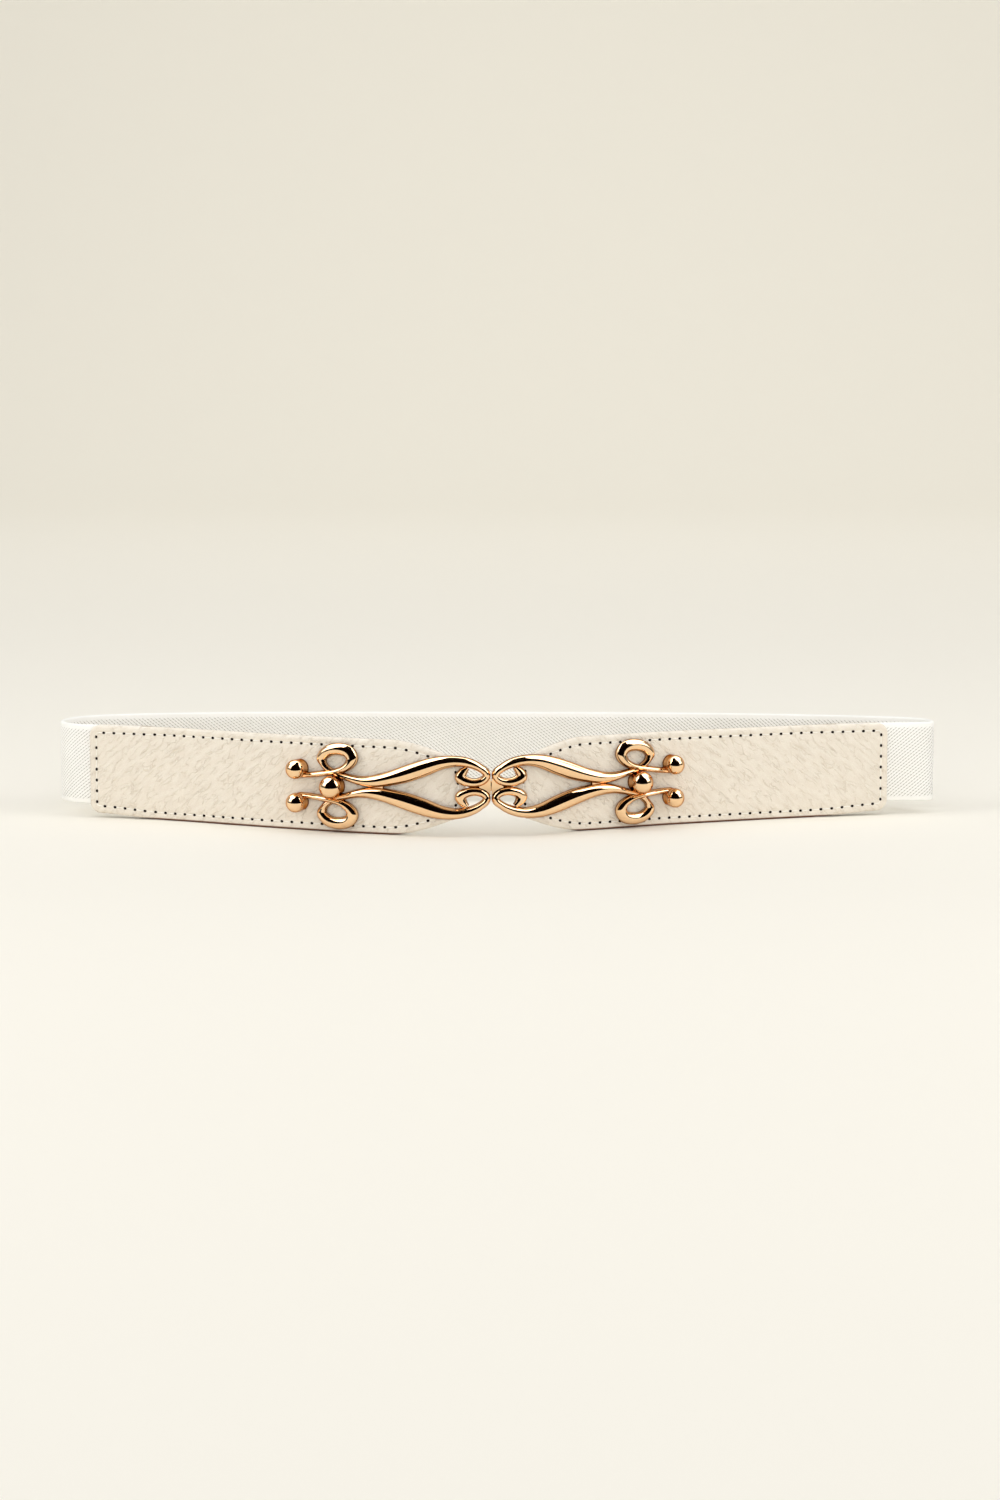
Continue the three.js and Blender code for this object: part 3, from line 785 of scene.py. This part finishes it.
def flat_turned(profile, along, up, sides):
    """A turned body, from pairs of radius and distance out, with its axis across the strip."""
    turn = np.linspace(0, 2 * math.pi, sides, endpoint=False)
    radius, out = np.array(profile).T
    x = along + radius[:, None] * np.cos(turn)
    y = up + radius[:, None] * np.sin(turn)
    z = np.broadcast_to(out[:, None], x.shape)
    return np.stack([x, y, z], axis=-1).reshape(-1, 3), ring_faces(len(profile), sides)


def flat_stud(along, across, radius):
    start = -math.acos(COLLAR_SHARE)
    turns = np.linspace(start, math.pi / 2, 16)[:-1]
    profile = [(COLLAR_SHARE * radius, CASTING_BACK)]
    profile += [(radius * math.cos(a), CASTING_BACK + STUD_STAND + radius * math.sin(a)) for a in turns]
    profile += [(radius * 0.03, CASTING_BACK + STUD_STAND + radius)]
    place = along * CASTING_LENGTH
    return flat_turned(profile, place, axis_height(place) + across * CASTING_HEIGHT / 2, STUD_SIDES)


def flat_post(along):
    place = along * CASTING_LENGTH
    head_top = -LEATHER_FACE - SEAT_GAP
    head_radius, head_thickness = POST_HEAD["radius"], POST_HEAD["thickness"]
    profile = [(head_radius * 0.55, head_top - head_thickness)]
    round_edge = ((0.85, 0.86), (0.98, 0.5), (1, 0))
    profile += [(head_radius * wide, head_top - head_thickness * deep) for wide, deep in round_edge]
    profile += [(POST_RADIUS, head_top), (POST_RADIUS, CASTING_BACK + ARM_HEIGHT * 0.4)]
    return flat_turned(profile, place, axis_height(place), POST_SIDES)


def flat_web():
    low, high = PARTING_GAP / 2, PARTING_GAP / 2 + WEB["length"]
    corners = [(low, -1), (low, 1), (high, 1), (high, -1)]
    points = []
    for thickness, lean in ((0, 0), (WEB["thickness"], WEB["lean"])):
        out = CASTING_BACK + thickness
        for along, way in corners[::-1]:
            points.append((along, axis_height(0) + way * WEB["height"] / 2, out + way * lean))
    return np.array(points), ring_faces(2, 4)


def flat_casting():
    """The points and faces of a whole half, laid out flat, as one closed body."""
    parts = []
    for rows, steps in ((STEM, 96), (RING, 84), (CURL, 56)):
        for mirror in (1, -1):
            parts.append(flat_stroke(rows, mirror, steps))
    parts += [flat_stud(**stud) for stud in STUDS]
    parts += [flat_post(**post) for post in POSTS]
    parts.append(flat_web())
    pieces = [make_piece(f"casting_part_{i}", points, faces) for i, (points, faces) in enumerate(parts)]
    whole = pieces[0]
    for other in pieces[1:]:
        join = whole.modifiers.new("join", "BOOLEAN")
        join.operation = "UNION"
        join.solver = "EXACT"
        join.object = other
    evaluated = whole.evaluated_get(bpy.context.evaluated_depsgraph_get()).to_mesh()
    points = np.empty(len(evaluated.vertices) * 3, np.float32)
    evaluated.vertices.foreach_get("co", points)
    faces = [list(face.vertices) for face in evaluated.polygons]
    for piece in pieces:
        bpy.data.objects.remove(piece)
    return points.reshape(-1, 3).astype(float), faces


def polished_gold():
    """Bright warm gold plating, nearly a mirror and a little uneven, with painted shade low on its walls
    where they stand over the leather.
    """
    material, tree, shader = new_material("polished_gold")
    patches = use_group(tree, cloudy, Patch_Size=6.0, Contrast=1.5)["Value"]
    bright = blend_colour(tree, patches, colour(*PALE_GOLD), colour(*WARM_GOLD))
    stand_map = add_node(tree, "UVMap", uv_map="stand").outputs[0]
    stand = add_node(tree, "SeparateXYZ", {0: stand_map}).outputs[0]
    # Painted shade: the walls and stud collars are coloured brown low down near the leather, but not on the
    # flat back.
    off_back = between(tree, stand, 0.02, 0.12)
    low = between(tree, stand, WALL_SHADE[1], WALL_SHADE[0])
    wall_shaded = blend_colour(tree, calc(tree, "MULTIPLY", off_back, low), bright, colour(*WALL_SHADE_BROWN))
    tree.links.new(wall_shaded, shader.inputs["Base Color"])
    fine = use_group(tree, cloudy, Patch_Size=0.8, Contrast=1.0)["Value"]
    tree.links.new(calc(tree, "MULTIPLY_ADD", fine, 0.04, 0.03), shader.inputs["Roughness"])
    place = add_node(tree, "TexCoord").outputs["Object"]
    wave = add_node(tree, "TexNoise", {"Vector": place, "Scale": 260.0, "Detail": 1.0})
    bump = add_node(tree, "Bump", {"Height": wave.outputs[0], "Strength": 0.08, "Distance": 0.1 * MM})
    tree.links.new(bump.outputs[0], shader.inputs["Normal"])
    shader.inputs["Metallic"].default_value = 1.0
    shader.inputs["Specular Tint"].default_value = colour(*EDGE_GOLD)
    return material


gold = polished_gold()
casting_points, casting_faces = flat_casting()
for side, place in ((-1, "left"), (1, "right")):
    points = on_strip(side * casting_points[:, 0], casting_points[:, 1], casting_points[:, 2])
    faces = casting_faces if side > 0 else [face[::-1] for face in casting_faces]
    stand = np.stack([casting_points[:, 2] - CASTING_BACK, casting_points[:, 1]], axis=1)
    casting = make_piece("casting_" + place, points, faces, [("stand", stand)], smooth_below=38)
    casting.data.materials.append(gold)
    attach(casting, "root")
    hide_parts("buckle_" + place)

# Clasp hook
# A plain bar of gold-plated metal with rounded edges. It lies hidden behind the parting line
# against the backs of both castings and joins them.
HOOK_LENGTH = 14
HOOK_HEIGHT = 3.2
HOOK_THICKNESS = 1.2
HOOK_STATIONS = 33
HOOK_CORNERS = 24
CORNER_BEND = 0.4
HOOK_END_BEND = 12
HOOK_END_SHARE = 0.3


def make_hook():
    front = CASTING_BACK - SEAT_GAP
    middle = front - HOOK_THICKNESS / 2
    turn = np.linspace(0, 2 * math.pi, HOOK_CORNERS, endpoint=False)
    over = np.sign(np.cos(turn)) * np.abs(np.cos(turn)) ** CORNER_BEND * HOOK_HEIGHT / 2
    deep = np.sign(np.sin(turn)) * np.abs(np.sin(turn)) ** CORNER_BEND * HOOK_THICKNESS / 2
    share = np.linspace(-1, 1, HOOK_STATIONS)[:, None]
    taper = np.clip(1 - np.abs(share) ** HOOK_END_BEND, HOOK_END_SHARE, 1)
    along = np.broadcast_to(share * HOOK_LENGTH / 2, (HOOK_STATIONS, HOOK_CORNERS))
    points = on_strip(along, axis_height(0) + over[None, :] * taper, middle - deep[None, :] * taper)
    stand = np.full((HOOK_STATIONS * HOOK_CORNERS, 2), ARM_HEIGHT)
    faces = ring_faces(HOOK_STATIONS, HOOK_CORNERS)
    return make_piece("hook_bar", points, faces, [("stand", stand)], smooth_below=50)


hook = make_hook()
hook.data.materials.append(gold)
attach(hook, "root")
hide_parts("clasp_hook")

# Floor and backdrop
# A plain pale paper sweep: flat under the belt, and curving up far behind it.
SWEEP = dict(front=-1.6, back=1.5, radius=0.9, top=2.4, half_width=2.6)
NEAR_PAPER = (249, 245, 235)
FAR_PAPER = (246, 241, 228)


def make_sweep():
    radius = SWEEP["radius"]
    turn = np.linspace(0, math.pi / 2, 24)
    bend = [(SWEEP["back"] + radius * math.sin(a), radius * (1 - math.cos(a))) for a in turn]
    profile = [(SWEEP["front"], 0), (0, 0), *bend, (SWEEP["back"] + radius, SWEEP["top"])]
    points = [(x, y, z) for y, z in profile for x in (-SWEEP["half_width"], SWEEP["half_width"])]
    faces = [[2 * i, 2 * i + 1, 2 * i + 3, 2 * i + 2] for i in range(len(profile) - 1)]
    return make_piece("sweep", points, faces)


def pale_paper():
    material, tree, shader = new_material("pale_paper")
    place = add_node(tree, "SeparateXYZ", {0: add_node(tree, "TexCoord").outputs["Object"]})
    far = between(tree, place.outputs[1], 0.1, 2.2)
    tint = blend_colour(tree, far, colour(*NEAR_PAPER), colour(*FAR_PAPER))
    tree.links.new(tint, shader.inputs["Base Color"])
    shader.inputs["Roughness"].default_value = 0.9
    shader.inputs["Specular IOR Level"].default_value = 0.1
    return material


sweep = make_sweep()
sweep.data.materials.append(pale_paper())

# Light
# One wide soft light overhead, a softer one on each side and a large fill behind the camera, with a lamp for
# the backdrop. A bright ceiling and a dark card in front show only in reflections.
LAMPS = [
    dict(name="overhead", place=(0, -0.1, 1.3), aim=(0, 0.05, 0), size=(1.4, 1.0), power=4.8, unseen=[]),
    dict(name="side_left", place=(-1.0, -0.35, 0.65), aim=(0, 0, 0.02), size=(0.7, 0.7), power=4, unseen=[]),
    dict(name="side_right", place=(1.0, -0.35, 0.65), aim=(0, 0, 0.02), size=(0.7, 0.7), power=4, unseen=[]),
    dict(name="front_fill", place=(0, -2, 0.6), aim=(0, 0, 0), size=(2.4, 1), power=14.5, unseen=["glossy"]),
    dict(
        name="backdrop_lamp", place=(0.15, 1.15, 1.25), aim=(0.15, 2.05, 0.15), size=(2.4, 0.5), power=9,
        unseen=["glossy"],
    ),
    dict(
        name="bright_ceiling", place=(0, 0.1, 1.15), aim=(0, 0.1, 0), size=(2.4, 1.5), power=32,
        unseen=["camera", "diffuse"],
    ),
]


def add_panel(name, place, aim, size, power, unseen):
    """A soft rectangular lamp. unseen names the rays that pass it by."""
    data = bpy.data.lights.new(name, "AREA")
    data.shape = "RECTANGLE"
    data.size, data.size_y = size
    data.energy = power
    panel = bpy.data.objects.new(name, data)
    bpy.context.scene.collection.objects.link(panel)
    panel.location = place
    panel.rotation_euler = (Vector(aim) - Vector(place)).to_track_quat("-Z", "Y").to_euler()
    for rays in unseen:
        setattr(panel, "visible_" + rays, False)


for lamp in LAMPS:
    add_panel(**lamp)

# The dark card narrows upwards and leans over the belt.
CARD_ROWS = [
    dict(half_width=0.2, back=-0.13, height=0.002),
    dict(half_width=0.18, back=-0.13, height=0.13),
    dict(half_width=0.11, back=-0.11, height=0.175),
    dict(half_width=0.06, back=-0.05, height=0.2),
    dict(half_width=0.03, back=0.03, height=0.2),
]
CARD_BLACK = (9, 3, 2)


def make_card():
    points = [(way * row["half_width"], row["back"], row["height"]) for row in CARD_ROWS for way in (-1, 1)]
    faces = [[2 * i, 2 * i + 1, 2 * i + 3, 2 * i + 2] for i in range(len(CARD_ROWS) - 1)]
    made = make_piece("card", points, faces)
    for rays in ("camera", "diffuse", "shadow", "transmission", "volume_scatter"):
        setattr(made, "visible_" + rays, False)
    return made


def dark_card():
    material, _, shader = new_material("dark_card")
    shader.inputs["Base Color"].default_value = colour(*CARD_BLACK)
    shader.inputs["Specular IOR Level"].default_value = 0.0
    return material


card = make_card()
card.data.materials.append(dark_card())

# The room around is pale, with a dark band low in front that only the camera doesn't see.
ROOM_PALE = (240, 240, 238)
ROOM_DARK = (40, 26, 18)
ROOM_STRENGTH = 0.45
ROOM_SEEN_STRENGTH = 0.85
DARK_HEIGHT = (0.1, 0.16)
DARK_DEPTH = (-0.05, 0.25)

world = bpy.data.worlds.new("surround")
bpy.context.scene.world = world
world.use_nodes = True
world_tree = world.node_tree
toward = add_node(world_tree, "SeparateXYZ", {0: add_node(world_tree, "TexCoord").outputs["Generated"]})
low_band = calc(
    world_tree, "MULTIPLY",
    between(world_tree, toward.outputs[2], DARK_HEIGHT[1], DARK_HEIGHT[0]),
    between(world_tree, toward.outputs[1], DARK_DEPTH[1], DARK_DEPTH[0]),
)
seen = add_node(world_tree, "LightPath").outputs["Is Camera Ray"]
unseen_band = calc(world_tree, "MULTIPLY", low_band, calc(world_tree, "SUBTRACT", 1.0, seen))
surround = blend_colour(world_tree, unseen_band, colour(*ROOM_PALE), colour(*ROOM_DARK))
background = world_tree.nodes["Background"]
world_tree.links.new(surround, background.inputs["Color"])
strength = calc(world_tree, "MULTIPLY_ADD", seen, ROOM_SEEN_STRENGTH - ROOM_STRENGTH, ROOM_STRENGTH)
world_tree.links.new(strength, background.inputs["Strength"])

# Camera
# A long lens from a little above, square to the front of the belt.
CAMERA_PLACE = (0.975, -1242.5, 190.6)
CAMERA_PITCH = math.radians(7.66)
FOCAL_PIXELS = 3720
IMAGE_WIDTH = 1000

camera_data = bpy.data.cameras.new("camera")
camera_data.sensor_fit = "HORIZONTAL"
camera_data.sensor_width = 36
camera_data.lens = camera_data.sensor_width * FOCAL_PIXELS / IMAGE_WIDTH
camera = bpy.data.objects.new("camera", camera_data)
bpy.context.scene.collection.objects.link(camera)
camera.location = Vector(CAMERA_PLACE) * MM
camera.rotation_euler = (math.pi / 2 - CAMERA_PITCH, 0, 0)
bpy.context.scene.camera = camera
bpy.context.scene.view_settings.view_transform = "Standard"
